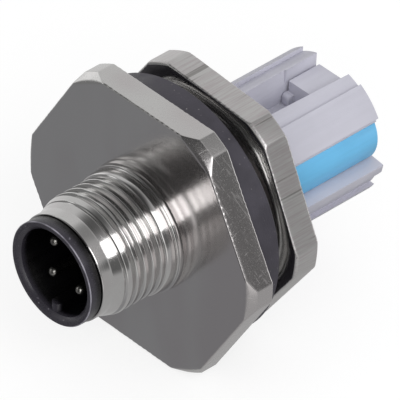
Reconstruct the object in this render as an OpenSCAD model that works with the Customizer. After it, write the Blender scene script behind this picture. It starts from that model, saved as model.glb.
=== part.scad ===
// M12 panel feed-through connector, male, four poles, with a fast-connection rear.
// The mating face looks along -Y, the cable side along +Y and +Z is up.
// The origin is on the axis, in the flange's rear face, where the panel seal sits.
// Every piece is drawn along its own z axis, with the mating face at +z, and laid
// down by in_row() at the end.

/* [Mating sleeve] */
// Outside diameter of the metric thread of the sleeve
sleeve_thread_d = 12; // [11.8:0.1:12.2]
// Plain diameter in front of the thread
sleeve_front_d = 10.8; // [10.6:0.1:11]
// Diameter of the polished shoulder behind the thread
shoulder_d = 13; // [12.6:0.1:14]
// Distance from the flange's rear face to the front rim of the insert
nose_l = 13.4; // [13:0.05:14]
// Pitch of the sleeve's thread, shown as plain rings
sleeve_pitch = 1; // [0.9:0.05:1.1]

/* [Hex flange] */
// Flange size across flats
flange_af = 27; // [26.5:0.1:28]
// Flange thickness
flange_t = 2.85; // [2.6:0.05:3]
// Radius to which the hexagon's corners are turned
flange_turn_r = 15.05; // [14.9:0.05:15.3]

/* [Panel side] */
// Outside diameter of the panel thread
panel_thread_d = 20; // [19.8:0.1:20.2]
// Length of the panel thread behind the flange
panel_thread_l = 8.6; // [8.5:0.1:9]
// Outside diameter of the panel seal
seal_d = 25.8; // [25:0.1:26.4]
// Thickness of the panel seal
seal_t = 2.95; // [2.5:0.05:3]
// Lock nut size across flats
nut_af = 24; // [24:0.1:25]
// Lock nut thickness
nut_t = 2.85; // [2.6:0.05:3]
// Gap between the seal and the nut, open for the panel
panel_gap = 1.75; // [1.5:0.05:2]
// Turn of the nut about the axis, against the flange's flats
nut_turn = -3.5; // [-10:0.5:10]

/* [Contact insert] */
// Outside diameter of the insert's front rim
rim_d = 10.5; // [10.4:0.05:10.6]
// Diameter of the cavity that takes the mating plug
cavity_d = 8.8; // [8.7:0.05:8.9]
// Depth of that cavity
cavity_depth = 8.9; // [8.5:0.1:9.2]
// Contact pin diameter
pin_d = 1; // [0.9:0.05:1.1]
// Pitch circle of the four contact pins
pin_circle_d = 5; // [4.8:0.05:5.3]
// How far the pin tips stand back from the rim
pin_recess = 1.55; // [1.25:0.1:1.85]

/* [Terminal body] */
// Outside diameter of the terminal body
body_d = 14.8; // [14.6:0.1:14.9]
// Distance from the flange's rear face to the end of the terminal body
tail_l = 21.6; // [21:0.1:22]
// Width of a wire chamber at the cable end
chamber_w = 4.2; // [4.1:0.05:4.3]
// Distance from the axis to a chamber's floor
chamber_floor = 3.2; // [3.1:0.1:3.4]
// Height of an open chamber's wire block above the axis
block_top = 5.6; // [5.5:0.05:5.7]

/* [Hidden] */
$fn = 96;
eps = 0.01;
sleeve_front_z = nose_l - 1.4;
lead_in_front_z = sleeve_front_z - 1.2;
lead_in_rear_z = lead_in_front_z - 1.8;
shoulder_z = flange_t + 2;
thread_rings = 5;
sleeve_bore_r = 4.9;
panel_thread_r = panel_thread_d / 2;
housing_bore_r = 8;
housing_step_z = 1.4;
nut_front_z = -seal_t - panel_gap;
nut_clearance = 0.05;
nut_turned_r = nut_af / 2 * 1.1;
cavity_floor_z = nose_l - cavity_depth;
insert_rear_z = -1;
pin_tip_z = nose_l - pin_recess;
pin_at = pin_circle_d / 2 * cos(45);
tail_r = 0.4;
o_ring_z = 2.9;
body_r = body_d / 2;
body_front_z = -2.6;
collar_rear_z = -8.2;
chamber_front_z = collar_rear_z - 0.6;
chamber_taper = 0.3;
seat_r = 6.95;
seat_half_w = 3.8;
chamber_left = 2;
blade_z = -18;
blade_t = 0.4;
leg_r = 2;
leg_w = 1.3;
foot_z = -1.6;
block_front_z = -17.65;
block_left = 1.6;
block_right = 1.75;
horn_left = 1.8;
covered_right = 0.7;
fork_left = 1.4;
fork_top = 5.1;
cover_top = 6.5;
cover_low = -0.75;
cover_high = 3.2;
cover_under = 5.5;

// Lays a piece that was drawn along z down into the row's frame.
module in_row() {
    rotate([90, 0, 0]) children();
}

// A ring or disc from a profile of [radius, z] points.
module turned(profile) {
    rotate_extrude() polygon(profile);
}

// A hexagonal prism from z0 up to z0 + t with its corners turned round.
// front and rear are [radius at the face, depth] of the corner chamfers.
module turned_hex(af, z0, t, turn_r, front, rear) {
    intersection() {
        translate([0, 0, z0]) cylinder(r = af / sqrt(3), h = t, $fn = 6);
        turned([
            [0, z0], [rear[0], z0], [turn_r, z0 + rear[1]],
            [turn_r, z0 + t - front[1]], [front[0], z0 + t], [0, z0 + t]
        ]);
    }
}

// A V-shaped groove round a cylinder of radius r, with a narrow flat at its root.
module ring_groove(r, z, width, depth) {
    root_w = 0.2 * width;
    over = 0.2;
    slope = (width - root_w) / 2 / depth;
    turned([
        [r - depth, z - root_w / 2], [r + over, z - width / 2 - slope * over],
        [r + over, z + width / 2 + slope * over], [r - depth, z + root_w / 2]
    ]);
}

// Sleeve, flange and panel tube, turned from one hexagonal bar.
module housing() {
    front_r = sleeve_front_d / 2;
    thread_r = sleeve_thread_d / 2;
    shoulder_r = shoulder_d / 2;
    color("silver") difference() {
        union() {
            difference() {
                turned([
                    [0, 0], [shoulder_r, 0], [shoulder_r, shoulder_z - 0.2],
                    [shoulder_r - 0.2, shoulder_z], [thread_r, shoulder_z],
                    [thread_r, lead_in_rear_z], [front_r, lead_in_front_z],
                    [front_r, sleeve_front_z - 0.2], [front_r - 0.2, sleeve_front_z],
                    [0, sleeve_front_z]
                ]);
                for (k = [0:thread_rings - 1])
                    ring_groove(thread_r, shoulder_z + (k + 0.65) * sleeve_pitch, 0.62, 0.5);
                ring_groove(shoulder_r, flange_t + 0.7, 0.3, 0.2);
            }
            turned_hex(flange_af, 0, flange_t, flange_turn_r, [14.35, 0.9], [14.9, 0.15]);
            turned([
                [0, eps], [panel_thread_r - 0.6, eps], [panel_thread_r - 0.6, -0.6],
                [panel_thread_r, -1], [panel_thread_r, -panel_thread_l + 0.5],
                [panel_thread_r - 0.5, -panel_thread_l], [0, -panel_thread_l]
            ]);
        }
        translate([0, 0, -panel_thread_l - 1]) {
            cylinder(r = sleeve_bore_r, h = nose_l + panel_thread_l);
            cylinder(r = housing_bore_r, h = panel_thread_l + 1 + housing_step_z);
        }
    }
}

// Black insert: rim, cavity with its coding key, and the block that holds the pins.
module contact_insert() {
    rim_r = rim_d / 2;
    cavity_r = cavity_d / 2;
    barrel_r = sleeve_bore_r - 0.02;
    color([0.09, 0.085, 0.1]) difference() {
        union() {
            difference() {
                turned([
                    [0, insert_rear_z], [barrel_r - 0.3, insert_rear_z], [barrel_r, insert_rear_z + 0.3],
                    [barrel_r, o_ring_z - 0.5], [barrel_r - 0.75, o_ring_z - 0.5],
                    [barrel_r - 0.75, o_ring_z + 0.5], [barrel_r, o_ring_z + 0.5],
                    [barrel_r, nose_l - 1.25], [rim_r, nose_l - 1.25],
                    [rim_r, nose_l - 0.06], [rim_r - 0.06, nose_l], [0, nose_l]
                ]);
                turned([
                    [0, cavity_floor_z], [cavity_r, cavity_floor_z],
                    [cavity_r, nose_l - 0.35], [cavity_r + 0.4, nose_l + eps], [0, nose_l + eps]
                ]);
            }
            coding_key(cavity_r);
        }
        for (k = [0:3]) rotate(90 * k) translate([pin_at, pin_at, insert_rear_z - 1])
            cylinder(r = pin_d / 2, h = cavity_floor_z - insert_rear_z + 2);
    }
}

// Coding key: a rib with a round front at the bottom of the cavity wall.
module coding_key(cavity_r) {
    key_w = 1.1;
    key_h = 0.85;
    key_l = cavity_depth - 0.4;
    sunk = 0.2;
    intersection() {
        translate([0, 0, cavity_floor_z - sunk]) cylinder(r = cavity_r + sunk, h = key_l + sunk);
        translate([0, -cavity_r - 1, cavity_floor_z - sunk]) union() {
            translate([-key_w / 2, 0, 0]) cube([key_w, key_h + 1, key_l + sunk - key_w / 2]);
            translate([0, 0, key_l + sunk - key_w / 2]) rotate([-90, 0, 0])
                cylinder(r = key_w / 2, h = key_h + 1);
        }
    }
}

// Sealing ring between the insert and the sleeve's bore.
module insert_o_ring() {
    section_r = 0.35;
    color([0.12, 0.12, 0.12]) translate([0, 0, o_ring_z]) rotate_extrude()
        translate([sleeve_bore_r - section_r, 0]) circle(r = section_r, $fn = 32);
}

// Contact pin with a round tip and a thinner tail for the blade's eye.
module contact_pin(k) {
    r = pin_d / 2;
    color([0.86, 0.84, 0.78]) rotate(90 * k) translate([pin_at, pin_at, 0]) {
        turned([
            [0, foot_z - 0.6], [tail_r, foot_z - 0.6], [tail_r, insert_rear_z],
            [r, insert_rear_z], [r, pin_tip_z - r], [0, pin_tip_z - r]
        ]);
        translate([0, 0, pin_tip_z - r]) sphere(r = r);
    }
}

// A wedge-shaped cut along a chamber, a little narrower towards the front.
module chamber_cut() {
    end_left = -chamber_left;
    end_right = chamber_w - chamber_left;
    translate([0, chamber_floor, 0]) rotate([-90, 0, 0]) linear_extrude(height = body_r)
        polygon([
            [end_left + chamber_taper, -chamber_front_z], [end_right - chamber_taper, -chamber_front_z],
            [end_right, tail_l], [end_right, tail_l + 1], [end_left, tail_l + 1], [end_left, tail_l]
        ]);
}

// The set-back that leaves a sloping ledge along an open chamber's left wall.
module ledge_cut() {
    set_back = 0.15;
    ledge_low = 4.9;
    ledge_high = 5.35;
    ledge_rear = 4.1;
    chamber_l = tail_l + chamber_front_z;
    translate([-chamber_left, 0, -tail_l]) rotate([0, atan(chamber_taper / chamber_l), 0])
        translate([0, 0, ledge_rear]) linear_extrude(height = chamber_l - ledge_rear)
            polygon([
                [eps, ledge_low], [-set_back, ledge_high],
                [-set_back, body_r + 1], [eps, body_r + 1]
            ]);
}

// The two shallow seats beside a chamber's mouth.
module chamber_seats() {
    translate([0, 0, -tail_l - 1]) difference() {
        translate([-seat_half_w, 0, 0]) cube([2 * seat_half_w, body_r + 1, tail_l + collar_rear_z + 1]);
        translate([0, 0, -1]) cylinder(r = seat_r, h = tail_l + 2);
    }
}

// The slot in the body's core that holds a blade's leg and foot.
module leg_cut() {
    slack = 0.05;
    slot_t = blade_t + 2 * slack;
    slot_w = leg_w + 2 * slack;
    translate([-slot_w / 2, leg_r - slot_t / 2, blade_z - blade_t - slack]) {
        cube([slot_w, slot_t, body_front_z - blade_z + 1]);
        cube([slot_w, chamber_floor - leg_r + 1, slot_t]);
    }
}

// Rib that narrows a covered chamber on its clockwise side.
module chamber_rib() {
    intersection() {
        translate([0, 0, -tail_l]) cylinder(r = body_r, h = tail_l + collar_rear_z);
        translate([0, 0, -tail_l]) linear_extrude(height = tail_l + chamber_front_z)
            polygon([
                [chamber_floor - 0.2, cover_low], [cover_under, cover_low], [body_r, cover_low - 0.25],
                [body_r, -1.75], [seat_r - 0.1, -2.15], [seat_r - 0.1, -2.3], [chamber_floor - 0.2, -2.3]
            ]);
    }
}

// Grey body with four wire chambers; two are open and two take a cover.
module terminal_body() {
    color([0.76, 0.75, 0.8]) difference() {
        union() {
            difference() {
                union() {
                    translate([0, 0, -tail_l]) cylinder(r = body_r, h = tail_l + body_front_z);
                    translate([0, 0, collar_rear_z])
                        cylinder(r = housing_bore_r - 0.05, h = body_front_z - collar_rear_z);
                }
                for (k = [0:3]) rotate(90 * k) {
                    chamber_cut();
                    chamber_seats();
                }
            }
            for (k = [0:1]) rotate(180 * k) chamber_rib();
        }
        for (k = [0:3]) rotate(90 * k) leg_cut();
        for (k = [0:1]) rotate(180 * k) {
            cover_cut();
            ledge_cut();
        }
    }
}

// Room for a cover beside its chamber, with a flared side above it.
module cover_cut() {
    slack = 0.03;
    flare_x = 6;
    flare_slope = 2;
    outer_x = body_r + 1;
    translate([0, 0, -tail_l - 1]) linear_extrude(height = tail_l + 1 + chamber_front_z)
        polygon([
            [cover_under - slack, 1.5], [outer_x, 1.5],
            [outer_x, cover_high + flare_slope * (outer_x - flare_x)],
            [flare_x, cover_high + slack], [cover_under - slack, cover_high + slack]
        ]);
}

// Insulation-displacement blade: fork, leg and a foot with an eye round a pin.
// right is how far the fork reaches on its clockwise side.
module contact_blade(k, right) {
    wire_slot_w = 0.5;
    leg_y = leg_r - blade_t / 2;
    rear_z = blade_z - blade_t;
    eye_r = 0.8;
    color([0.72, 0.45, 0.3]) rotate(90 * k) difference() {
        union() {
            translate([-fork_left, chamber_floor, rear_z])
                cube([fork_left + right, fork_top - chamber_floor, blade_t]);
            translate([-leg_w / 2, leg_y, rear_z])
                cube([leg_w, chamber_floor - leg_y + eps, blade_t]);
            translate([-leg_w / 2, leg_y, rear_z]) cube([leg_w, blade_t, foot_z - rear_z]);
            translate([-leg_w / 2, pin_at - eye_r, foot_z - blade_t])
                cube([leg_w / 2 + pin_at, leg_y + blade_t - pin_at + eye_r, blade_t]);
            translate([pin_at, pin_at, foot_z - blade_t]) cylinder(r = eye_r, h = blade_t);
        }
        translate([pin_at, pin_at, foot_z - 1]) cylinder(r = tail_r + eps, h = 2);
        translate([-wire_slot_w / 2, 3.7, blade_z - 1]) cube([wire_slot_w, 3, 2]);
        translate([0, fork_top + 0.5, blade_z - 1]) rotate(45) cube([1.2, 1.2, 4], center = true);
    }
}

// Block that stands over a chamber's blade, with a round-nosed horn in front of it.
// Its near front corner is chamfered. right is how far it reaches on its clockwise side.
module wire_block(k, top, right) {
    gap = 0.05;
    corner = 0.45;
    floor_y = chamber_floor + 0.02;
    horn_h = 4.35 - floor_y;
    horn_w = 0.95;
    horn_r = 0.45;
    horn_l = 0.65;
    color([0.75, 0.74, 0.79]) rotate(90 * k) difference() {
        union() {
            translate([0, floor_y, 0]) rotate([-90, 0, 0]) linear_extrude(height = top - floor_y)
                polygon([
                    [-block_left, -block_front_z], [right - corner, -block_front_z],
                    [right, corner - block_front_z], [right, tail_l], [-block_left, tail_l]
                ]);
            translate([-horn_left, floor_y, block_front_z - corner]) {
                cube([horn_w, horn_h - horn_r, horn_l + corner]);
                cube([horn_w, horn_h, horn_l + corner - horn_r]);
                translate([0, horn_h - horn_r, horn_l + corner - horn_r]) rotate([0, 90, 0])
                    cylinder(r = horn_r, h = horn_w);
            }
        }
        translate([-block_left - 1, floor_y - 1, blade_z - blade_t - gap])
            cube([block_left + right + 2, fork_top + gap - floor_y + 1, blade_t + 2 * gap]);
    }
}

// Convex cover of a closed chamber.
module chamber_cover() {
    bulge_r = 3.5;
    mid_y = 1.3;
    translate([0, 0, -tail_l + 0.05]) intersection() {
        translate([cover_under, cover_low + 0.05, 0])
            cube([body_r - cover_under, cover_high - cover_low - 0.05, tail_l + chamber_front_z - 0.1]);
        translate([cover_top - bulge_r, mid_y, 0]) cylinder(r = bulge_r, h = tail_l);
    }
}

// The cover of the chamber for the blue conductor.
module chamber_cover_blue() {
    color([0.33, 0.68, 0.88]) chamber_cover();
}

// The opposite cover.
module chamber_cover_plain() {
    color([0.76, 0.75, 0.8]) rotate(180) chamber_cover();
}

// Flat rubber ring between the flange and the panel.
module panel_seal() {
    outer_r = seal_d / 2;
    bore_r = panel_thread_r + 0.1;
    edge = 0.25;
    color([0.16, 0.15, 0.18]) turned([
        [bore_r, -seal_t], [outer_r - edge, -seal_t], [outer_r, -seal_t + edge],
        [outer_r, -edge], [outer_r - edge, 0], [bore_r, 0]
    ]);
}

// Hexagonal nut that clamps the panel.
module lock_nut() {
    bore_r = panel_thread_r + nut_clearance;
    rear_z = nut_front_z - nut_t;
    corner = [nut_turned_r - 0.25, 0.25];
    color("silver") rotate(nut_turn) difference() {
        turned_hex(nut_af, rear_z, nut_t, nut_turned_r, corner, corner);
        translate([0, 0, rear_z - 1]) cylinder(r = bore_r, h = nut_t + 2);
        turned([[0, nut_front_z - bore_r - 0.6], [bore_r + 0.6, nut_front_z + eps], [0, nut_front_z + eps]]);
        turned([[0, rear_z + bore_r + 0.6], [bore_r + 0.6, rear_z - eps], [0, rear_z - eps]]);
    }
}

in_row() housing();
in_row() contact_insert();
in_row() insert_o_ring();
in_row() contact_pin(0);  // contact_pin_1
in_row() contact_pin(1);  // contact_pin_2
in_row() contact_pin(2);  // contact_pin_3
in_row() contact_pin(3);  // contact_pin_4
in_row() terminal_body();
in_row() contact_blade(0, block_right - 0.1);  // contact_blade_1
in_row() contact_blade(1, covered_right - 0.1);  // contact_blade_2
in_row() contact_blade(2, block_right - 0.1);  // contact_blade_3
in_row() contact_blade(3, covered_right - 0.1);  // contact_blade_4
in_row() wire_block(0, block_top, block_right);  // wire_block_1
in_row() wire_block(1, cover_under - 0.05, covered_right);  // wire_block_2
in_row() wire_block(2, block_top, block_right);  // wire_block_3
in_row() wire_block(3, cover_under - 0.05, covered_right);  // wire_block_4
in_row() chamber_cover_blue();
in_row() chamber_cover_plain();
in_row() panel_seal();
in_row() lock_nut();
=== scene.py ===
"""Looks for a male M12 panel connector with a hex flange, a lock nut and a slotted terminal body.

The mating face looks along -Y and the cable side along +Y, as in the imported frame. Each metal
piece is a grid of points: a profile of radius and distance along the axis, carried round the
axis. Distances along the axis count from the flange's rear face towards the mating face. The
moulded pieces are copies of the CAD solids with small radii along their edges.
"""

import math

import bmesh
import bpy
import numpy as np
from mathutils import Matrix, Vector


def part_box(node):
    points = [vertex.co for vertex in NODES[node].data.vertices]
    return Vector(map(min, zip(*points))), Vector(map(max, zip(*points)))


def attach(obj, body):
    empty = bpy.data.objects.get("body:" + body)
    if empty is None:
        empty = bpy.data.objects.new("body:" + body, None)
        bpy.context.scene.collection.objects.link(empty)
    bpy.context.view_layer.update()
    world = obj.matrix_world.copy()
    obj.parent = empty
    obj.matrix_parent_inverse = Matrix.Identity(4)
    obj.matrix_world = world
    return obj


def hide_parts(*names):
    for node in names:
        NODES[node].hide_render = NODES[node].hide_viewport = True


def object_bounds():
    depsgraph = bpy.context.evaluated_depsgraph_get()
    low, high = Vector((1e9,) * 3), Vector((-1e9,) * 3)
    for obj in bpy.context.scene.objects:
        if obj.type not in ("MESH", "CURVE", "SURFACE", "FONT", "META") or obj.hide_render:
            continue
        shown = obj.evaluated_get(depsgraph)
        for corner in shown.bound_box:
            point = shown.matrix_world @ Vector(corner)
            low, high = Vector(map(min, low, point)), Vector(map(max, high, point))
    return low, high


bl_info = {
    "name": "M12 panel connector",
    "version": (1, 0, 0),
    "blender": (4, 5, 0),
    "location": "View3D > Sidebar > Connector",
    "description": "Finishes a male M12 panel connector on its packed frame",
    "category": "Object",
}

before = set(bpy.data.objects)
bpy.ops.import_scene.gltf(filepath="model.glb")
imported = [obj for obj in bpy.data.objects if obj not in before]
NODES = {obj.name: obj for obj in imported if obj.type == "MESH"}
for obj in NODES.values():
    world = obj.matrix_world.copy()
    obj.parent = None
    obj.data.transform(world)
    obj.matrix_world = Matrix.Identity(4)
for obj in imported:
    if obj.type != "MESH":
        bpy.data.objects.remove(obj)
CAD_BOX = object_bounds()
MM = 0.001
CONTACTS = range(1, 5)

# How finely the turned pieces are divided: columns round the axis, steps in a rounded corner
# and steps in one pitch of a thread.
HEX_COLUMNS = 720
SLEEVE_COLUMNS = 180
TUBE_COLUMNS = 192
ARC_STEPS = 4
THREAD_STEPS = 32

HEX_SIDES = 6
# Fall of a thread's flank for each unit along the axis, at 30 degrees from the radial way.
FLANK_SLOPE = math.tan(math.radians(60))
# Length over which two surfaces that cut each other are blended.
CREASE = 0.02 * MM
INSERT_EDGE = 0.09 * MM
# In a copy of a CAD mesh, corners closer than SAME_CORNER become one, triangles that lie within
# SAME_FACE of each other become one face, and edges sharper than EDGE_ANGLE get a radius.
SAME_CORNER = 0.002 * MM
SAME_FACE = math.radians(0.6)
EDGE_ANGLE = math.radians(20)

# Colours and levels of marks in the finishes, of the painted highlight on the insert's mouth and
# of the painted shade in its cavity.
DEEP_LINE = (0.16, 0.15, 0.14)
# Light grey of the painted highlight along the edges of the insert's mouth, which is also the
# colour of its dust specks.
EDGE_HIGHLIGHT_AND_DUST = (0.37, 0.355, 0.41)
DUST = (0.42, 0.40, 0.40)
# Share of its colour that the insert keeps deep in its cavity: painted shade.
CAVITY_SHADE = 0.03
# Where the flange's turned face ends and its milled flats begin, in millimetres along Y.
FACE_END, FLATS_START = -2.84, -2.76

# The studio as gloss sees it: the room's level, and the direction, inner and outer angle in
# degrees, and colour of each soft panel in it.
ROOM_LEVEL = 0.45
STUDIO_PANELS = (
    ((-0.70, 0.60, 0.38), 32, 62, (0.66, 0.66, 0.66)),
    ((-0.81, 0.56, -0.17), 15, 40, (0.74, 0.74, 0.74)),
    ((0.80, -0.55, -0.25), 9, 22, (0.92, 0.91, 0.90)),
    ((-0.50, -0.60, -0.60), 22, 50, (0.25, 0.25, 0.26)),
    ((0.10, -1.0, 0.0), 16, 38, (0.08, 0.08, 0.08)),
    ((0.05, 0.56, 0.83), 8, 26, (0.28, 0.28, 0.28)),
    ((-0.05, -0.55, 0.83), 24, 48, (0.055, 0.055, 0.055)),
    ((-0.80, -0.56, 0.06), 14, 32, (0.22, 0.22, 0.22)),
    ((0.80, 0.557, 0.19), 6, 15, (0.09, 0.09, 0.09)),
    ((0.85, -0.05, 0.12), 8, 20, (0.13, 0.13, 0.13)),
    ((0.80, -0.57, 0.10), 5, 14, (0.11, 0.11, 0.11)),
    ((-0.79, -0.56, 0.28), 4, 10, (1.3, 1.3, 1.3)),
    ((-0.98, -0.12, 0.13), 6, 18, (1.1, 1.1, 1.1)),
    ((0.61, -0.79, 0.05), 5, 12, (1.6, 1.6, 1.6)),
    ((0.34, 0.93, -0.10), 6, 18, (1.5, 1.5, 1.5)),
)
KEY_DIRECTION = (0.72, -0.342, 0.604)
KEY_DISTANCE = 0.35
KEY_SIZE = (0.20, 0.51)
FLOOR_COLOUR = (0.30, 0.30, 0.30)
FLOOR_HALF = 0.6
FLOOR_GAP = 0.1 * MM


# --- sizes that the frame gives -------------------------------------------------------------

def reach(node):
    """How far a node goes towards the mating face and towards the cable side, and its radius."""
    low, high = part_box(node)
    return -low.y, -high.y, high.z


SLEEVE_FRONT, TUBE_REAR, FLANGE_HALF = reach("housing")
NUT_FRONT, NUT_REAR, _ = reach("lock_nut")
INSERT_FRONT, _, INSERT_RADIUS = reach("contact_insert")
CAVITY_RADIUS = 4.4 * MM


class ConnectorSizes(bpy.types.PropertyGroup):
    """Sizes that the frame's boxes don't give."""

    sleeve_thread_d: bpy.props.FloatProperty(
        name="Sleeve thread", description="Outside diameter of the sleeve's thread",
        default=12 * MM, min=8 * MM, max=16 * MM, unit="LENGTH", precision=5)
    sleeve_pitch: bpy.props.FloatProperty(
        name="Sleeve pitch", description="Pitch of the sleeve's thread",
        default=1 * MM, min=0.5 * MM, max=2 * MM, unit="LENGTH", precision=5)
    sleeve_front_d: bpy.props.FloatProperty(
        name="Sleeve front", description="Plain diameter in front of the thread",
        default=10.8 * MM, min=8 * MM, max=12 * MM, unit="LENGTH", precision=5)
    shoulder_d: bpy.props.FloatProperty(
        name="Neck ring", description="Diameter of the ring where the sleeve meets the flange",
        default=12.8 * MM, min=12 * MM, max=16 * MM, unit="LENGTH", precision=5)
    flange_t: bpy.props.FloatProperty(
        name="Flange thickness", description="Thickness of the hex flange",
        default=2.85 * MM, min=2 * MM, max=4 * MM, unit="LENGTH", precision=5)
    flange_turn_r: bpy.props.FloatProperty(
        name="Flange corner radius", description="Radius to which the flange's corners are turned",
        default=15.05 * MM, min=14 * MM, max=16 * MM, unit="LENGTH", precision=5)
    panel_thread_d: bpy.props.FloatProperty(
        name="Panel thread", description="Outside diameter of the panel thread",
        default=20 * MM, min=16 * MM, max=24 * MM, unit="LENGTH", precision=5)
    panel_pitch: bpy.props.FloatProperty(
        name="Panel pitch", description="Pitch of the panel thread",
        default=1.5 * MM, min=1 * MM, max=2 * MM, unit="LENGTH", precision=5)
    nut_af: bpy.props.FloatProperty(
        name="Nut size", description="Lock nut size across flats",
        default=24 * MM, min=22 * MM, max=27 * MM, unit="LENGTH", precision=5)
    nut_turn: bpy.props.FloatProperty(
        name="Nut turn", description="Turn of the nut against the flange's flats",
        default=math.radians(-3.5), subtype="ANGLE")
    metal_edge: bpy.props.FloatProperty(
        name="Metal edge", description="Radius of the broken edges of the metal pieces",
        default=0.13 * MM, min=0, max=0.4 * MM, unit="LENGTH", precision=5)
    moulded_edge: bpy.props.FloatProperty(
        name="Moulded edge", description="Radius along the edges of the moulded pieces",
        default=0.07 * MM, min=0, max=0.2 * MM, unit="LENGTH", precision=5)


class ConnectorColours(bpy.types.PropertyGroup):
    """Colours of the finishes, as linear values."""

    nickel: bpy.props.FloatVectorProperty(
        name="Nickel", description="Bright nickel plating", subtype="COLOR",
        default=(0.655, 0.65, 0.64), min=0, max=1)
    tarnish: bpy.props.FloatVectorProperty(
        name="Tarnish", description="Duller nickel in worn and milled places", subtype="COLOR",
        default=(0.58, 0.54, 0.545), min=0, max=1)
    black: bpy.props.FloatVectorProperty(
        name="Black plastic", description="Contact insert", subtype="COLOR",
        default=(0.034, 0.031, 0.041), min=0, max=1)
    rubber: bpy.props.FloatVectorProperty(
        name="Rubber", description="Panel seal and insert ring", subtype="COLOR",
        default=(0.044, 0.040, 0.053), min=0, max=1)
    grey: bpy.props.FloatVectorProperty(
        name="Grey plastic", description="Terminal body and its small pieces", subtype="COLOR",
        default=(0.56, 0.555, 0.63), min=0, max=1)
    blue: bpy.props.FloatVectorProperty(
        name="Blue plastic", description="Marked chamber's cover", subtype="COLOR",
        default=(0.16, 0.52, 0.84), min=0, max=1)
    # The contact plating is set far darker than plated metal is, as painted shade of the insert's
    # cavity round the pins.
    pin: bpy.props.FloatVectorProperty(
        name="Contact plating", description="Contact pins", subtype="COLOR",
        default=(0.36, 0.35, 0.33), min=0, max=1)
    copper: bpy.props.FloatVectorProperty(
        name="Copper alloy", description="Terminal blades", subtype="COLOR",
        default=(0.60, 0.33, 0.19), min=0, max=1)


class ConnectorStage(bpy.types.PropertyGroup):
    """Camera and light."""

    azimuth: bpy.props.FloatProperty(
        name="Azimuth", description="Camera's turn from looking along +Y",
        default=math.radians(44.7), subtype="ANGLE")
    elevation: bpy.props.FloatProperty(
        name="Elevation", description="Camera's height above the horizon",
        default=math.radians(38.3), subtype="ANGLE")
    roll: bpy.props.FloatProperty(
        name="Roll", description="Camera's roll about its own axis",
        default=math.radians(2.8), subtype="ANGLE")
    distance: bpy.props.FloatProperty(
        name="Distance", description="Distance from the flange to the camera",
        default=0.673, min=0.2, max=3, unit="LENGTH")
    right: bpy.props.FloatProperty(
        name="Right", description="Camera's offset to its own right",
        default=3.71 * MM, unit="LENGTH", precision=5)
    above: bpy.props.FloatProperty(
        name="Above", description="Camera's offset along its own up",
        default=1.29 * MM, unit="LENGTH", precision=5)
    lens: bpy.props.FloatProperty(
        name="Lens", description="Focal length in millimetres",
        default=663.9, min=50, max=1500)
    key_level: bpy.props.FloatProperty(
        name="Key level", description="Radiance of the long soft box beside the camera",
        default=2.3, min=0, max=20)
    fill_level: bpy.props.FloatProperty(
        name="Fill level", description="Strength of the even light from all round",
        default=0.70, min=0, max=3)
    floor_level: bpy.props.FloatProperty(
        name="Floor level", description="How white the floor is before light falls on it",
        default=0.74, min=0, max=1)


# --- grids and profiles ---------------------------------------------------------------------

def around(count):
    """count angles, evenly spaced round the axis."""
    return np.arange(count) * (2 * math.pi / count)


def hex_radius(half_flats, angle, turn):
    """Radius of a hexagon at an angle.

    It is half the size across flats over the cosine of the angle from the nearest flat's middle.
    """
    sector = 2 * math.pi / HEX_SIDES
    off = (angle - turn - math.pi / 2 + sector / 2) % sector - sector / 2
    return half_flats / np.cos(off)


def soft_max(a, b, soft):
    """The larger of a and b, with the crease between them rounded over a length of soft."""
    return (a + b + np.sqrt((a - b) ** 2 + soft**2)) / 2


def soft_min(a, b, soft):
    """The smaller of a and b, with the crease between them rounded over a length of soft."""
    return -soft_max(-a, -b, soft)


def rounded(corners, radii):
    """Rounds the corners of a closed profile, at all angles at once.

    corners is (n, angles, 2): radius and distance along the axis. Each corner becomes a
    quadratic curve between two points that stand its radius away along its two sides, or
    0.45 of a side where that is shorter.
    """
    before, after = np.roll(corners, 1, axis=0) - corners, np.roll(corners, -1, axis=0) - corners
    rows = []
    for corner, back, ahead, radius in zip(corners, before, after, radii):
        back_l = np.linalg.norm(back, axis=-1, keepdims=True)
        ahead_l = np.linalg.norm(ahead, axis=-1, keepdims=True)
        step = np.minimum(np.reshape(radius, (-1, 1)), 0.45 * np.minimum(back_l, ahead_l))
        start, end = corner + back / back_l * step, corner + ahead / ahead_l * step
        for t in np.linspace(0, 1, ARC_STEPS + 1 if np.max(radius) > 0 else 1):
            rows.append((1 - t) ** 2 * start + 2 * t * (1 - t) * corner + t**2 * end)
    return np.array(rows)


def subdivided(profile, low, high, step):
    """Adds points to an open profile where it lies between low and high, at most step apart."""
    points = [profile[0]]
    for start, end in zip(profile[:-1], profile[1:]):
        inside = min(start[1], end[1]) < high and max(start[1], end[1]) > low
        count = max(1, int(np.ceil(np.linalg.norm(end - start) / step))) if inside else 1
        points.extend(start + (end - start) * np.arange(1, count + 1)[:, None] / count)
    return np.array(points)


def thread_radius(along, angle, thread):
    """Radius of a right-hand thread.

    The distance from the nearest crest is along, less the pitch times the share of a turn,
    taken to the nearest whole pitch. Past the crest's flat the radius falls down a 30 degree
    flank to the root, with all creases rounded, and the groove runs out at both ends.
    """
    low, high, major, pitch, flat, depth, crest_at = thread
    phase = (along - crest_at) / pitch - angle / (2 * math.pi)
    off = np.abs(phase - np.round(phase)) * pitch
    soft = 0.05 * pitch
    fall = soft_max((off - flat / 2) * FLANK_SLOPE, 0, soft)
    fade = 0.4 * pitch
    run_out = np.clip((along - low) / fade, 0, 1) * np.clip((high - along) / fade, 0, 1)
    return major - soft_min(fall, depth, 2 * soft) * run_out


def laid_down(radius, angle, along):
    """Points of the row frame from cylinder coordinates about the connector's axis."""
    radius, angle, along = np.broadcast_arrays(radius, angle, along)
    return np.stack([radius * np.cos(angle), -along, radius * np.sin(angle)], axis=-1)


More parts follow.
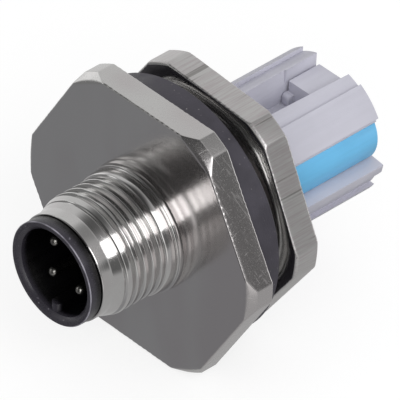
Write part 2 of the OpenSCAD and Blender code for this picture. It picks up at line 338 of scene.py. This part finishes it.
def ring_mesh(name, points):
    """A mesh from a grid of points that closes both along the profile and round the axis."""
    rows, columns = points.shape[:2]
    i, j = np.meshgrid(np.arange(rows), np.arange(columns), indexing="ij")
    k, l = (i + 1) % rows, (j + 1) % columns
    faces = np.stack([i * columns + j, k * columns + j, k * columns + l, i * columns + l], axis=-1)
    mesh = bpy.data.meshes.new(name)
    mesh.from_pydata(points.reshape(-1, 3).tolist(), [], faces.reshape(-1, 4).tolist())
    mesh.shade_smooth()
    return mesh


def outward(mesh):
    """Points the faces of a closed mesh outwards."""
    work = bmesh.new()
    work.from_mesh(mesh)
    bmesh.ops.recalc_face_normals(work, faces=work.faces)
    work.to_mesh(mesh)
    work.free()
    return mesh


def merged(mesh):
    """Merges a CAD mesh's loose triangles and joins those that lie flat to each other."""
    work = bmesh.new()
    work.from_mesh(mesh)
    bmesh.ops.remove_doubles(work, verts=work.verts, dist=SAME_CORNER)
    bmesh.ops.dissolve_limit(
        work, angle_limit=SAME_FACE, verts=work.verts, edges=work.edges, delimit=set())
    work.to_mesh(mesh)
    work.free()
    return mesh


def add_piece(name, mesh, body, slot, material, *replaced):
    """Adds a finished piece, rides it on its body and lets it stand for CAD nodes."""
    piece = bpy.data.objects.new(name, mesh)
    bpy.context.scene.collection.objects.link(piece)
    mesh.materials.clear()
    mesh.materials.append(material)
    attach(piece, body)
    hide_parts(*replaced)
    return piece


def even_normals(piece):
    """Keeps flat faces flat between their rounded edges."""
    modifier = piece.modifiers.new("Even normals", "WEIGHTED_NORMAL")
    modifier.keep_sharp = True
    return piece


# --- the turned pieces ----------------------------------------------------------------------

def hex_ring(half_flats, turn, turned_r, ends, chamfers, edge, inner):
    """A hexagon with turned corners, as rows of radius and distance along the axis.

    At each angle the side stands at the smaller of the hexagon's radius and the turned one. A
    chamfer is a cone from its start radius at the face to its depth at the turned radius, so it
    only touches the corners. Where it doesn't reach, the edge is broken by edge, which wavers
    with sines of the angle, as a deburring tool leaves it. inner is the rest of the loop, as
    corners of radius and distance.
    """
    angle = around(HEX_COLUMNS)
    waver = 0.14 * np.sin(47 * angle) * np.sin(83 * angle + 1) + 0.07 * np.sin(139 * angle)
    edge = edge * (1 + waver)
    side = soft_min(hex_radius(half_flats, angle, turn), turned_r, CREASE)
    corners, radii = [], []
    for face, (start_r, depth), sign in zip(ends, chamfers, (-1, 1)):
        share = np.clip((side - start_r) / (turned_r - start_r), 0, 1)
        drop = soft_max(depth * share, edge, 0.2 * edge)
        lip = soft_min(side - edge, start_r, 0.2 * edge)
        on_face = np.stack([lip, np.full_like(side, face)], axis=-1)
        on_side = np.stack([side, face + sign * drop], axis=-1)
        pair = [(on_face, 0.9 * edge + 0.3 * depth * share), (on_side, 0.9 * edge)]
        for corner, radius in pair[::-sign]:
            corners.append(corner)
            radii.append(radius)
    for point in inner:
        corners.append(np.broadcast_to(point, (len(angle), 2)))
        radii.append(0)
    loop = rounded(np.array(corners), radii)
    return laid_down(loop[..., 0], angle, loop[..., 1])


def flange_points(sizes):
    """The hex flange, open inside for the sleeve and the panel tube."""
    wide, narrow, step = 8.02 * MM, 5.5 * MM, 1.4 * MM
    front_chamfer, rear_chamfer = (14.35 * MM, 0.9 * MM), (14.9 * MM, 0.15 * MM)
    inner = [(wide, 0), (wide, step), (narrow, step), (narrow, sizes.flange_t)]
    return hex_ring(
        FLANGE_HALF, 0, sizes.flange_turn_r, (sizes.flange_t, 0),
        (front_chamfer, rear_chamfer), sizes.metal_edge, inner)


def nut_points(sizes):
    """The lock nut, with a countersink at both ends of its bore."""
    play, sink, cut = 0.05 * MM, 0.6 * MM, 0.25 * MM
    bore = sizes.panel_thread_d / 2 + play
    turned_r = sizes.nut_af / 2 * 1.1
    chamfer = (turned_r - cut, cut)
    inner = [
        (bore + sink, NUT_REAR), (bore, NUT_REAR + sink),
        (bore, NUT_FRONT - sink), (bore + sink, NUT_FRONT)]
    return hex_ring(
        sizes.nut_af / 2, sizes.nut_turn, turned_r, (NUT_FRONT, NUT_REAR),
        (chamfer, chamfer), sizes.metal_edge, inner)


def threaded_ring(outline, bore, thread, columns):
    """A turned ring whose outline carries a helical thread.

    outline is an open profile from the rear to the front, and bore closes it inside. The
    radius is the smaller of the outline's and the thread's where the thread runs.
    """
    low, high, pitch = thread[0], thread[1], thread[3]
    profile = subdivided(np.array(outline), low, high, pitch / THREAD_STEPS)
    angle = around(columns)[None, :]
    plain, along = profile[:, :1], profile[:, 1:]
    inside = (along > low) & (along < high)
    cut = soft_min(plain, thread_radius(along, angle, thread), CREASE)
    bore_r, bore_z = (np.repeat(part, columns, axis=1) for part in np.hsplit(np.array(bore), 2))
    loop_r = np.concatenate([np.where(inside, cut, plain), bore_r])
    loop_z = np.concatenate([np.repeat(along, columns, axis=1), bore_z])
    return laid_down(loop_r, angle, loop_z)


def arc(centre, radius, start, end, steps=5):
    """Points of radius and distance on an arc.

    start and end are angles in degrees from the outward direction, towards the mating face.
    """
    turns = np.radians(np.linspace(start, end, steps))
    return [(centre[0] + radius * math.cos(t), centre[1] + radius * math.sin(t)) for t in turns]


def sleeve_points(sizes):
    """The mating sleeve: ring at the flange, rounded neck, thread, lead-in cone, plain front."""
    front_r, major = sizes.sleeve_front_d / 2, sizes.sleeve_thread_d / 2
    ring_r, bore_r, face = sizes.shoulder_d / 2, 4.9 * MM, sizes.flange_t
    ring, start, cone = face + 0.62 * MM, face + 1.95 * MM, face + 6.15 * MM
    sunk, edge, lip = face - 1.35 * MM, 0.06 * MM, 0.12 * MM
    groove_r, neck_r = ring_r - 0.26 * MM, ring_r - 0.14 * MM
    outline = [
        (ring_r, sunk), (ring_r - 0.12 * MM, face + 0.02 * MM), (ring_r, face + 0.14 * MM),
        *arc((ring_r - edge, ring - edge), edge, 0, 90, 4),
        (groove_r, ring + 0.03 * MM), (groove_r, ring + 0.13 * MM),
        (ring_r - 0.13 * MM, ring + 0.2 * MM), (neck_r, ring + 0.5 * MM),
        *arc((major - 0.24 * MM, start - 0.42 * MM), 0.5 * MM, 36, 82, 7),
        (major - 0.16 * MM, start + 0.08 * MM), (major, start + 0.2 * MM),
        (major, cone), (major - 0.04 * MM, cone + 0.15 * MM),
        (front_r + 0.02 * MM, cone + 1.7 * MM), (front_r, cone + 1.85 * MM),
        *arc((front_r - lip, SLEEVE_FRONT - lip), lip, 0, 90)]
    bore = [(bore_r, SLEEVE_FRONT), (bore_r, sunk)]
    pitch = sizes.sleeve_pitch
    thread = (start, cone + 1.8 * MM, major, pitch, 0.42 * pitch, 0.52 * pitch, 0.08 * MM)
    return threaded_ring(outline, bore, thread, SLEEVE_COLUMNS)


def tube_points(sizes):
    """The panel tube behind the flange, with its thread and the groove at the thread's end."""
    major, bore_r = sizes.panel_thread_d / 2, 8 * MM
    chamfer, groove_r, sunk = 0.5 * MM, major - 0.6 * MM, 0.2 * MM
    outline = [
        (major - chamfer, TUBE_REAR), (major, TUBE_REAR + chamfer), (major, -1 * MM),
        (groove_r, -0.6 * MM), (groove_r, sunk)]
    bore = [(bore_r, sunk), (bore_r, TUBE_REAR)]
    pitch = sizes.panel_pitch
    thread = (TUBE_REAR - MM, -0.7 * MM, major, pitch, 0.2 * pitch, 0.55 * pitch, 0)
    return threaded_ring(outline, bore, thread, TUBE_COLUMNS)


# --- moulded pieces -------------------------------------------------------------------------

def softened(name, node, body, slot, material, edge):
    """A copy of a moulded CAD piece with small radii along its edges."""
    mesh = merged(NODES[node].data.copy())
    mesh.name = name
    piece = add_piece(name, mesh, body, slot, material, node)
    bevel = piece.modifiers.new("Moulded edges", "BEVEL")
    bevel.width = edge
    bevel.segments = 2
    bevel.limit_method = "ANGLE"
    bevel.angle_limit = EDGE_ANGLE
    bevel.harden_normals = True
    mesh.shade_smooth()
    return piece


# --- materials, with noise and masks in millimetres -----------------------------------------

class Group:
    """A shader node group under construction, with float and vector sockets."""

    def __init__(self, name, inputs, outputs):
        self.tree = bpy.data.node_groups.new(name, "ShaderNodeTree")
        for label, kind in inputs:
            self.tree.interface.new_socket(label, in_out="INPUT", socket_type=f"NodeSocket{kind}")
        for label, kind in outputs:
            self.tree.interface.new_socket(label, in_out="OUTPUT", socket_type=f"NodeSocket{kind}")
        self.inputs = self.tree.nodes.new("NodeGroupInput").outputs
        self.outputs = self.tree.nodes.new("NodeGroupOutput").inputs

    def send(self, socket, label):
        """Leads a socket to one of the group's outputs."""
        self.tree.links.new(socket, self.outputs[label])


def feed(tree, socket, value):
    """Links a socket or writes a number, triple or colour to an input."""
    if isinstance(value, bpy.types.NodeSocket):
        tree.links.new(value, socket)
    elif hasattr(value, "__len__") and socket.type == "RGBA":
        socket.default_value = (*value[:3], 1)
    else:
        socket.default_value = value


def maths(tree, operation, *values):
    """A Math node on sockets or numbers."""
    node = tree.nodes.new("ShaderNodeMath")
    node.operation = operation
    for socket, value in zip(node.inputs, values):
        feed(tree, socket, value)
    return node.outputs[0]


def times(tree, first, second):
    """The product of two sockets or numbers."""
    return maths(tree, "MULTIPLY", first, second)


def plus(tree, first, value, factor):
    """first plus factor times value."""
    return maths(tree, "ADD", first, times(tree, value, factor))


def larger(tree, first, second):
    """The larger of two sockets or numbers."""
    return maths(tree, "MAXIMUM", first, second)


def ramp(tree, value, low, high, start=0.0, end=1.0):
    """Goes smoothly from start to end while value goes from low to high."""
    node = tree.nodes.new("ShaderNodeMapRange")
    node.interpolation_type = "SMOOTHSTEP"
    labels = ("Value", "From Min", "From Max", "To Min", "To Max")
    for label, number in zip(labels, (value, low, high, start, end)):
        feed(tree, node.inputs[label], number)
    return node.outputs["Result"]


def blended(tree, factor, first, second):
    """Mixes two colours."""
    node = tree.nodes.new("ShaderNodeMix")
    node.data_type = "RGBA"
    for label, value in zip(("Factor", "A", "B"), (factor, first, second)):
        feed(tree, [s for s in node.inputs if s.name == label and s.enabled][0], value)
    return [s for s in node.outputs if s.enabled][0]


def placed(tree, vector, scale, turn=(0, 0, 0)):
    """Turns and scales coordinates."""
    node = tree.nodes.new("ShaderNodeMapping")
    feed(tree, node.inputs["Vector"], vector)
    node.inputs["Rotation"].default_value = [math.radians(t) for t in turn]
    node.inputs["Scale"].default_value = scale
    return node.outputs["Vector"]


def noise(tree, vector, scale, detail=2.0, rough=0.5):
    """Noise of one value."""
    node = tree.nodes.new("ShaderNodeTexNoise")
    feed(tree, node.inputs["Vector"], vector)
    for label, number in zip(("Scale", "Detail", "Roughness"), (scale, detail, rough)):
        node.inputs[label].default_value = number
    return node.outputs["Fac"]


def axis_part(tree, vector, part):
    """One coordinate of a vector."""
    node = tree.nodes.new("ShaderNodeSeparateXYZ")
    feed(tree, node.inputs[0], vector)
    return node.outputs[part]


def millimetres(tree):
    """Object coordinates in millimetres."""
    where = tree.nodes.new("ShaderNodeTexCoord")
    return placed(tree, where.outputs["Object"], (1 / MM,) * 3)


def use(tree, name, **values):
    """Places a shared group, made on its first use, and feeds its inputs; gives its outputs."""
    if name not in bpy.data.node_groups:
        SHARED_GROUPS[name]()
    node = tree.nodes.new("ShaderNodeGroup")
    node.node_tree = bpy.data.node_groups[name]
    for label, value in values.items():
        feed(tree, node.inputs[label], value)
    return node.outputs


def hair(tree, where, scale, turn, share):
    """Hair lines over coordinates that are turned, in degrees, and scaled."""
    lines = placed(tree, where, (scale,) * 3, turn)
    return use(tree, "hair_lines", Vector=lines, Share=share)["Line"]


def bumped(tree, shader, height, distance):
    """Leads a height in units of distance to the shader's normal."""
    node = tree.nodes.new("ShaderNodeBump")
    node.inputs["Strength"].default_value = 1
    node.inputs["Distance"].default_value = distance
    tree.links.new(height, node.inputs["Height"])
    tree.links.new(node.outputs["Normal"], shader.inputs["Normal"])


def hair_lines_group():
    """Sparse hair lines: noise drawn out along the lines, of which only the peaks are kept."""
    sockets = (("Vector", "Vector"), ("Share", "Float"))
    group = Group("hair_lines", sockets, (("Line", "Float"),))
    tree = group.tree
    lines = noise(tree, placed(tree, group.inputs["Vector"], (5, 0.28, 0.28)), 1.0, 1.0)
    breaks = noise(tree, group.inputs["Vector"], 0.55, 1.0)
    level = maths(tree, "SUBTRACT", 0.80, times(tree, group.inputs["Share"], 0.25))
    over = times(tree, maths(tree, "SUBTRACT", lines, level), 14)
    group.send(times(tree, ramp(tree, over, 0, 1), ramp(tree, breaks, 0.42, 0.6)), "Line")


def mottle_group():
    """Cloudy patches and fine specks, as plating over a worked surface has."""
    group = Group("mottle", (("Vector", "Vector"),), (("Patch", "Float"), ("Speck", "Float")))
    tree = group.tree
    slow = noise(tree, group.inputs["Vector"], 0.45, 3.0)
    fine = noise(tree, group.inputs["Vector"], 7.0, 2.0, 0.7)
    group.send(ramp(tree, slow, 0.35, 0.65), "Patch")
    group.send(ramp(tree, fine, 0.56, 0.70), "Speck")


def moulded_skin_group():
    """Moulded skin: very fine grain, slow shading and faint flow lines along the connector."""
    sockets = (("Shade", "Float"), ("Height", "Float"))
    group = Group("moulded_skin", (("Vector", "Vector"),), sockets)
    tree, vector = group.tree, group.inputs["Vector"]
    slow = noise(tree, vector, 0.22, 2.0)
    flow = noise(tree, placed(tree, vector, (1.6, 0.12, 1.6)), 1.0, 2.0)
    fine = noise(tree, vector, 9.0, 3.0, 0.6)
    group.send(plus(tree, times(tree, slow, 0.6), flow, 0.4), "Shade")
    group.send(plus(tree, times(tree, fine, 0.8), flow, 0.2), "Height")


SHARED_GROUPS = {
    "hair_lines": hair_lines_group,
    "mottle": mottle_group,
    "moulded_skin": moulded_skin_group,
}


def new_material(name, colour, roughness, metallic=0.0):
    """A material with a Principled shader; gives the material, its tree and the shader."""
    material = bpy.data.materials.new(name)
    material.use_nodes = True
    shader = material.node_tree.nodes["Principled BSDF"]
    shader.inputs["Base Color"].default_value = (*colour, 1)
    shader.inputs["Roughness"].default_value = roughness
    shader.inputs["Metallic"].default_value = metallic
    return material, material.node_tree, shader


def finish_node(node, material):
    """Gives a CAD node its material."""
    slots = NODES[node].data.materials
    slots.clear()
    slots.append(material)


def turned_nickel(name, colours, roughness):
    """Plating over a turned surface: fine rings round the axis, dull patches and specks."""
    material, tree, shader = new_material(name, colours.nickel, roughness, 1.0)
    where = millimetres(tree)
    mottle = use(tree, "mottle", Vector=where)
    rings = noise(tree, placed(tree, where, (0.02, 9, 0.02)), 1.0, 2.0)
    lines = hair(tree, where, 1, (0, 35, 62), 0.45)
    dull = larger(tree, times(tree, mottle["Patch"], 0.35), times(tree, mottle["Speck"], 0.5))
    tint = blended(tree, dull, colours.nickel, colours.tarnish)
    feed(tree, shader.inputs["Base Color"], tint)
    rough = plus(tree, plus(tree, roughness, mottle["Speck"], 0.10), lines, 0.2)
    feed(tree, shader.inputs["Roughness"], rough)
    bumped(tree, shader, plus(tree, rings, lines, -0.8), distance=0.0016 * MM)
    return material


def flange_nickel(name, colours, roughness):
    """A smooth turned face, and milled flats with slanted scratches and specks."""
    material, tree, shader = new_material(name, colours.nickel, roughness, 1.0)
    where = millimetres(tree)
    flats = ramp(tree, axis_part(tree, where, "Y"), FACE_END, FLATS_START)
    mottle = use(tree, "mottle", Vector=where)
    scratches = larger(
        tree, hair(tree, where, 1.7, (20, 0, 38), 0.75), hair(tree, where, 2.1, (70, 15, 64), 0.6))
    milled = noise(tree, placed(tree, where, (3.2, 0.35, 3.2), (0, 0, 12)), 1.0, 3.0)
    marks = larger(tree, times(tree, mottle["Speck"], 0.6), times(tree, scratches, 0.5))
    worn = times(tree, flats, marks)
    slow = noise(tree, placed(tree, where, (0.11, 0.11, 0.05)), 1.0, 2.0)
    dull = larger(tree, ramp(tree, slow, 0.38, 0.62, 0, 0.6), times(tree, worn, 0.8))
    tint = blended(tree, dull, colours.nickel, colours.tarnish)
    feed(tree, shader.inputs["Base Color"], tint)
    rough = plus(tree, plus(tree, roughness, flats, 0.06), worn, 0.16)
    feed(tree, shader.inputs["Roughness"], rough)
    height = times(tree, flats, plus(tree, milled, scratches, -0.5))
    bumped(tree, shader, height, distance=0.004 * MM)
    return material


def milled_nickel(name, colours, roughness):
    """Flats milled across the nut: dense lines and a few deep dark ones, between plain ends."""
    material, tree, shader = new_material(name, colours.nickel, roughness, 1.0)
    where = millimetres(tree)
    depth = axis_part(tree, where, "Y")
    front, rear = -NUT_FRONT / MM, -NUT_REAR / MM
    flats = times(
        tree, ramp(tree, depth, front + 0.03, front + 0.1),
        ramp(tree, depth, rear - 0.1, rear - 0.03, 1, 0))
    mottle = use(tree, "mottle", Vector=where)
    lines = noise(tree, placed(tree, where, (7.5, 0.25, 7.5)), 1.0, 2.0, 0.6)
    sparse = noise(tree, placed(tree, where, (2.1, 0.05, 2.1), (0, 20, 3)), 1.0, 1.0)
    deep = ramp(tree, sparse, 0.66, 0.74)
    dull = times(tree, flats, ramp(tree, lines, 0.35, 0.7))
    tint = blended(tree, dull, colours.nickel, colours.tarnish)
    dark = times(tree, flats, times(tree, deep, 0.55))
    feed(tree, shader.inputs["Base Color"], blended(tree, dark, tint, DEEP_LINE))
    spread = plus(tree, 0.2, mottle["Speck"], 0.15)
    feed(tree, shader.inputs["Roughness"], plus(tree, roughness, flats, spread))
    height = times(tree, flats, plus(tree, lines, deep, -1.5))
    bumped(tree, shader, height, distance=0.008 * MM)
    return material


def moulded(name, colour, roughness, contrast):
    """Moulded plastic: grain and slow shading over one colour."""
    material, tree, shader = new_material(name, colour, roughness)
    skin = use(tree, "moulded_skin", Vector=millimetres(tree))
    darker = [c * (1 - contrast) for c in colour]
    lighter = [min(1, c * (1 + contrast)) for c in colour]
    tint = blended(tree, ramp(tree, skin["Shade"], 0.35, 0.65), darker, lighter)
    feed(tree, shader.inputs["Base Color"], tint)
    rough = ramp(tree, skin["Height"], 0.3, 0.7, roughness - 0.06, roughness + 0.06)
    feed(tree, shader.inputs["Roughness"], rough)
    bumped(tree, shader, skin["Height"], distance=0.012 * MM)
    return material


def insert_plastic(name, colour, worn, roughness):
    """Black plastic with painted shade that darkens it into the cavity, a painted highlight along
    the edges round its mouth, and dust.
    """
    material, tree, shader = new_material(name, colour, roughness)
    where = millimetres(tree)
    skin, mottle = use(tree, "moulded_skin", Vector=where), use(tree, "mottle", Vector=where)
    rim, outside, inside = -INSERT_FRONT / MM, INSERT_RADIUS / MM, CAVITY_RADIUS / MM
    depth = axis_part(tree, where, "Y")
    squares = (maths(tree, "POWER", axis_part(tree, where, part), 2) for part in "XZ")
    radius = maths(tree, "SQRT", maths(tree, "ADD", *squares))
    deep = [c * CAVITY_SHADE for c in colour]
    # Painted shade: the colour darkens to CAVITY_SHADE of itself between 0.3 and 1.1 mm behind the
    # rim.
    shade = blended(tree, ramp(tree, depth, rim + 0.3, rim + 1.1), colour, deep)
    dust = times(tree, ramp(tree, noise(tree, where, 3.1, 1.0), 0.70, 0.76), 0.35)
    # Painted highlight: in patches, a light grey along the outer and inner edges of the rim's
    # front face.
    lip = ramp(tree, depth, rim + 0.03, rim + 0.13, 1, 0)
    edges = larger(
        tree, ramp(tree, radius, outside - 0.14, outside - 0.02),
        ramp(tree, radius, inside + 0.04, inside + 0.18, 1, 0))
    broken = ramp(tree, mottle["Patch"], 0.0, 0.8, 0.35, 1.0)
    painted_edge_highlight = times(tree, times(tree, lip, edges), broken)
    # worn is the light grey of both the painted highlight and the dust.
    tint = blended(tree, larger(tree, painted_edge_highlight, dust), shade, worn)
    # Behind the rim the painted highlight and dust give way to the painted shade.
    inward = ramp(tree, depth, rim + 0.3, rim + 0.9)
    feed(tree, shader.inputs["Base Color"], blended(tree, inward, tint, shade))
    rough = ramp(tree, skin["Height"], 0.3, 0.7, roughness - 0.05, roughness + 0.05)
    feed(tree, shader.inputs["Roughness"], rough)
    bumped(tree, shader, skin["Height"], distance=0.01 * MM)
    return material


def rubber(name, colour, roughness):
    """Rubber with a dull bloom and light dust specks."""
    material, tree, shader = new_material(name, colour, roughness)
    where = millimetres(tree)
    patch = use(tree, "mottle", Vector=where)["Patch"]
    bloom = blended(tree, patch, [c * 0.9 for c in colour], [c * 1.15 for c in colour])
    dust = times(tree, ramp(tree, noise(tree, where, 3.4, 1.0), 0.73, 0.78), 0.55)
    feed(tree, shader.inputs["Base Color"], blended(tree, dust, bloom, DUST))
    feed(tree, shader.inputs["Roughness"], plus(tree, roughness - 0.08, patch, 0.16))
    bumped(tree, shader, noise(tree, where, 5.0, 3.0, 0.6), distance=0.02 * MM)
    return material


def contact_metal(name, colour, roughness):
    """Contact metal: fine turning rings and darker tarnished patches."""
    material, tree, shader = new_material(name, colour, roughness, 1.0)
    where = millimetres(tree)
    mottle = use(tree, "mottle", Vector=placed(tree, where, (2.5,) * 3))
    tint = blended(tree, mottle["Patch"], colour, [c * 0.55 for c in colour])
    feed(tree, shader.inputs["Base Color"], tint)
    feed(tree, shader.inputs["Roughness"], plus(tree, roughness, mottle["Speck"], 0.2))
    rings = noise(tree, placed(tree, where, (0.2, 14, 0.2)), 1.0, 1.0)
    bumped(tree, shader, rings, distance=0.003 * MM)
    return material


# --- operators ------------------------------------------------------------------------------

class CONNECTOR_OT_stage(bpy.types.Operator):
    """Camera, floor, white surroundings and soft light"""

    bl_idname = "connector.stage"
    bl_label = "Camera and Stage"

    def execute(self, context):
        stage = context.scene.connector_stage
        a, e, r = stage.azimuth, stage.elevation, stage.roll
        back = Vector((math.sin(a) * math.cos(e), -math.cos(a) * math.cos(e), math.sin(e)))
        level = Vector((math.cos(a), math.sin(a), 0))
        upright = back.cross(level)
        right = math.cos(r) * level + math.sin(r) * upright
        up = -math.sin(r) * level + math.cos(r) * upright
        camera = bpy.data.objects.new("camera", bpy.data.cameras.new("camera"))
        camera.data.lens = stage.lens
        camera.data.clip_start, camera.data.clip_end = 0.01, 10
        camera.matrix_world = Matrix((right, up, back)).transposed().to_4x4()
        camera.location = back * stage.distance + right * stage.right + up * stage.above
        context.scene.collection.objects.link(camera)
        context.scene.camera = camera
        context.scene.view_settings.view_transform = "Standard"
        self.surroundings(context, stage)
        self.key_light(context, stage)
        self.floor(context, stage)
        return {"FINISHED"}

    def surroundings(self, context, stage):
        """White behind the object, an even fill for its colours, and soft panels in its gloss.

        A panel's colour is mixed in where the direction's angle from the panel's middle lies
        inside the inner angle, and fades out smoothly to the outer one.
        """
        world = bpy.data.worlds.new("studio")
        context.scene.world = world
        world.use_nodes = True
        tree = world.node_tree
        where = tree.nodes.new("ShaderNodeTexCoord").outputs["Generated"]
        path = tree.nodes.new("ShaderNodeLightPath")
        gloss = (ROOM_LEVEL,) * 3
        for direction, inner, outer, colour in STUDIO_PANELS:
            dot = tree.nodes.new("ShaderNodeVectorMath")
            dot.operation = "DOT_PRODUCT"
            tree.links.new(where, dot.inputs[0])
            dot.inputs[1].default_value = Vector(direction).normalized()
            near, far = math.cos(math.radians(inner)), math.cos(math.radians(outer))
            gloss = blended(tree, ramp(tree, dot.outputs["Value"], far, near), gloss, colour)
        lit = blended(tree, path.outputs["Is Glossy Ray"], (stage.fill_level,) * 3, gloss)
        seen = blended(tree, path.outputs["Is Camera Ray"], lit, (1, 1, 1))
        tree.links.new(seen, tree.nodes["Background"].inputs["Color"])

    def key_light(self, context, stage):
        """A long soft box beside the camera, along the connector."""
        width, length = KEY_SIZE
        light = bpy.data.lights.new("key", "AREA")
        light.shape = "RECTANGLE"
        light.size, light.size_y = width, length
        light.energy = stage.key_level * math.pi * width * length
        lamp = bpy.data.objects.new("key", light)
        back = Vector(KEY_DIRECTION).normalized()
        across = Vector((0, 1, 0)).cross(back).normalized()
        lamp.matrix_world = Matrix((across, back.cross(across), back)).transposed().to_4x4()
        lamp.location = back * KEY_DISTANCE
        lamp.visible_camera = False
        context.scene.collection.objects.link(lamp)

    def floor(self, context, stage):
        """A pale floor just under the object, white of itself, which keeps the object's shadow."""
        height = CAD_BOX[0][2] - FLOOR_GAP
        corners = ((-1, -1), (1, -1), (1, 1), (-1, 1))
        mesh = bpy.data.meshes.new("floor")
        mesh.from_pydata(
            [(x * FLOOR_HALF, y * FLOOR_HALF, height) for x, y in corners], [], [(0, 1, 2, 3)])
        piece = bpy.data.objects.new("floor", mesh)
        context.scene.collection.objects.link(piece)
        piece.visible_glossy = False
        material, tree, shader = new_material("floor", FLOOR_COLOUR, 0.9)
        shader.inputs["Specular IOR Level"].default_value = 0
        path = tree.nodes.new("ShaderNodeLightPath")
        shader.inputs["Emission Color"].default_value = (1, 1, 1, 1)
        level = maths(tree, "MULTIPLY", path.outputs["Is Camera Ray"], stage.floor_level)
        tree.links.new(level, shader.inputs["Emission Strength"])
        mesh.materials.append(material)


class CONNECTOR_OT_housing(bpy.types.Operator):
    """Nickel sleeve with its thread, hex flange and panel tube"""

    bl_idname = "connector.housing"
    bl_label = "Metal Housing"

    def execute(self, context):
        sizes, colours = context.scene.connector_sizes, context.scene.connector_colours
        turned = turned_nickel("turned_nickel", colours, roughness=0.12)
        faced = flange_nickel("faced_nickel", colours, roughness=0.165)
        for name, points, finish in (
                ("mating_sleeve", sleeve_points(sizes), turned),
                ("hex_flange", flange_points(sizes), faced),
                ("panel_tube", tube_points(sizes), turned)):
            mesh = outward(ring_mesh(name, points))
            even_normals(add_piece(name, mesh, "connector", "nickel", finish, "housing"))
        return {"FINISHED"}


class CONNECTOR_OT_nut(bpy.types.Operator):
    """Lock nut with milled flats"""

    bl_idname = "connector.nut"
    bl_label = "Lock Nut"

    def execute(self, context):
        sizes, colours = context.scene.connector_sizes, context.scene.connector_colours
        nickel = milled_nickel("milled_nickel", colours, roughness=0.16)
        mesh = outward(ring_mesh("hex_nut", nut_points(sizes)))
        even_normals(add_piece("hex_nut", mesh, "nut", "nickel", nickel, "lock_nut"))
        return {"FINISHED"}


class CONNECTOR_OT_insert(bpy.types.Operator):
    """Black contact insert, its ring and the contact pins"""

    bl_idname = "connector.insert"
    bl_label = "Contact Insert"

    def execute(self, context):
        colours = context.scene.connector_colours
        black = insert_plastic("black_plastic", colours.black, EDGE_HIGHLIGHT_AND_DUST, roughness=0.30)
        softened("insert_body", "contact_insert", "connector", "black_plastic", black, INSERT_EDGE)
        finish_node("insert_o_ring", rubber("ring_rubber", colours.rubber, roughness=0.6))
        plated = contact_metal("contact_plating", colours.pin, roughness=0.22)
        for k in CONTACTS:
            finish_node(f"contact_pin_{k}", plated)
        return {"FINISHED"}


class CONNECTOR_OT_seal(bpy.types.Operator):
    """Rubber panel seal"""

    bl_idname = "connector.seal"
    bl_label = "Panel Seal"

    def execute(self, context):
        colours = context.scene.connector_colours
        finish_node("panel_seal", rubber("seal_rubber", colours.rubber, roughness=0.5))
        return {"FINISHED"}


class CONNECTOR_OT_terminals(bpy.types.Operator):
    """Moulded terminal body, wire blocks, chamber covers and blades"""

    bl_idname = "connector.terminals"
    bl_label = "Terminal Body"

    def execute(self, context):
        sizes, colours = context.scene.connector_sizes, context.scene.connector_colours
        grey = moulded("grey_plastic", colours.grey, roughness=0.45, contrast=0.035)
        blue = moulded("blue_plastic", colours.blue, roughness=0.40, contrast=0.06)
        copper = contact_metal("copper_alloy", colours.copper, roughness=0.3)
        edge = sizes.moulded_edge
        softened("slotted_body", "terminal_body", "connector", "grey_plastic", grey, edge)
        for k in CONTACTS:
            softened(f"block_{k}", f"wire_block_{k}", "connector", "grey_plastic", grey, edge)
            finish_node(f"contact_blade_{k}", copper)
        softened("blue_cover", "chamber_cover_blue", "connector", "blue_plastic", blue, edge)
        softened("plain_cover", "chamber_cover_plain", "connector", "grey_plastic", grey, edge)
        return {"FINISHED"}


class CONNECTOR_PT_panel(bpy.types.Panel):
    """Lists the steps that finish the connector"""

    bl_idname = "CONNECTOR_PT_panel"
    bl_label = "M12 Panel Connector"
    bl_space_type = "VIEW_3D"
    bl_region_type = "UI"
    bl_category = "Connector"

    def draw(self, context):
        for operator in OPERATORS:
            self.layout.operator(operator.bl_idname)
        for group in GROUPS:
            values = getattr(context.scene, group)
            box = self.layout.box()
            for label in values.__annotations__:
                box.prop(values, label)


OPERATORS = (
    CONNECTOR_OT_stage,
    CONNECTOR_OT_housing,
    CONNECTOR_OT_nut,
    CONNECTOR_OT_insert,
    CONNECTOR_OT_seal,
    CONNECTOR_OT_terminals,
)
GROUPS = {
    "connector_sizes": ConnectorSizes,
    "connector_colours": ConnectorColours,
    "connector_stage": ConnectorStage,
}


def register():
    """Registers the classes and hangs the settings on the scene."""
    for label, group in GROUPS.items():
        bpy.utils.register_class(group)
        setattr(bpy.types.Scene, label, bpy.props.PointerProperty(type=group))
    for cls in (*OPERATORS, CONNECTOR_PT_panel):
        bpy.utils.register_class(cls)


def unregister():
    """Takes the classes and settings away again."""
    for cls in reversed((*OPERATORS, CONNECTOR_PT_panel)):
        bpy.utils.unregister_class(cls)
    for label, group in reversed(GROUPS.items()):
        delattr(bpy.types.Scene, label)
        bpy.utils.unregister_class(group)


def main():
    """Builds every piece in order."""
    register()
    for operator in OPERATORS:
        module, name = operator.bl_idname.split(".")
        getattr(getattr(bpy.ops, module), name)()


if __name__ == "__main__":
    main()
